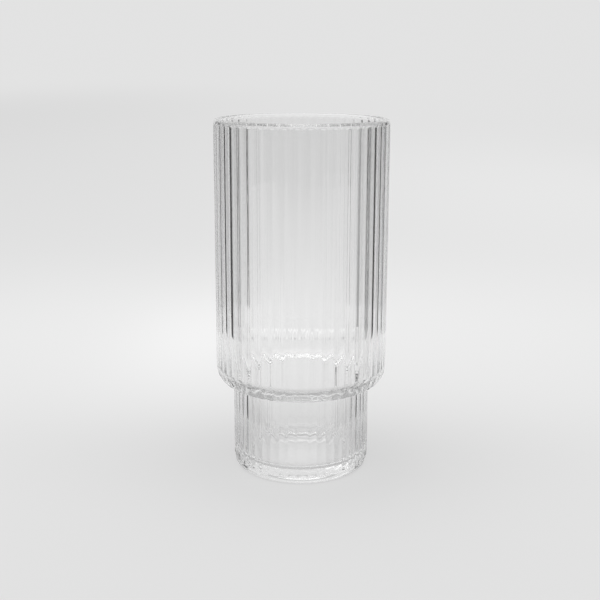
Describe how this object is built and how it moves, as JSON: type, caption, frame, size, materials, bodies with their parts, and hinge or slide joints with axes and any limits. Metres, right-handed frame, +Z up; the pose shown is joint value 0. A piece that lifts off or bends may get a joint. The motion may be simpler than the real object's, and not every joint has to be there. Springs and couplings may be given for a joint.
{
  "type": "drinking glass",
  "caption": "Clear ribbed tall tumbler: straight fluted body, rounded shoulder stepping in to a narrower fluted foot, smooth rim and thick floor.",
  "frame": {"origin": "on the glass's axis, in the plane of the ring that it stands on", "axes": "+Z up along the axis, from the base to the mouth; +X across the glass, through the crest of a rib, and +Y across it, through a groove"},
  "size_m": [0.0754, 0.0754, 0.154],
  "materials": {
    "clear_glass": "clear, fire polished"
  },
  "bodies": {
    "root": {"lip": "clear_glass", "barrel": "clear_glass", "shoulder": "clear_glass", "foot": "clear_glass", "base": "clear_glass"}
  },
  "joints": []
}
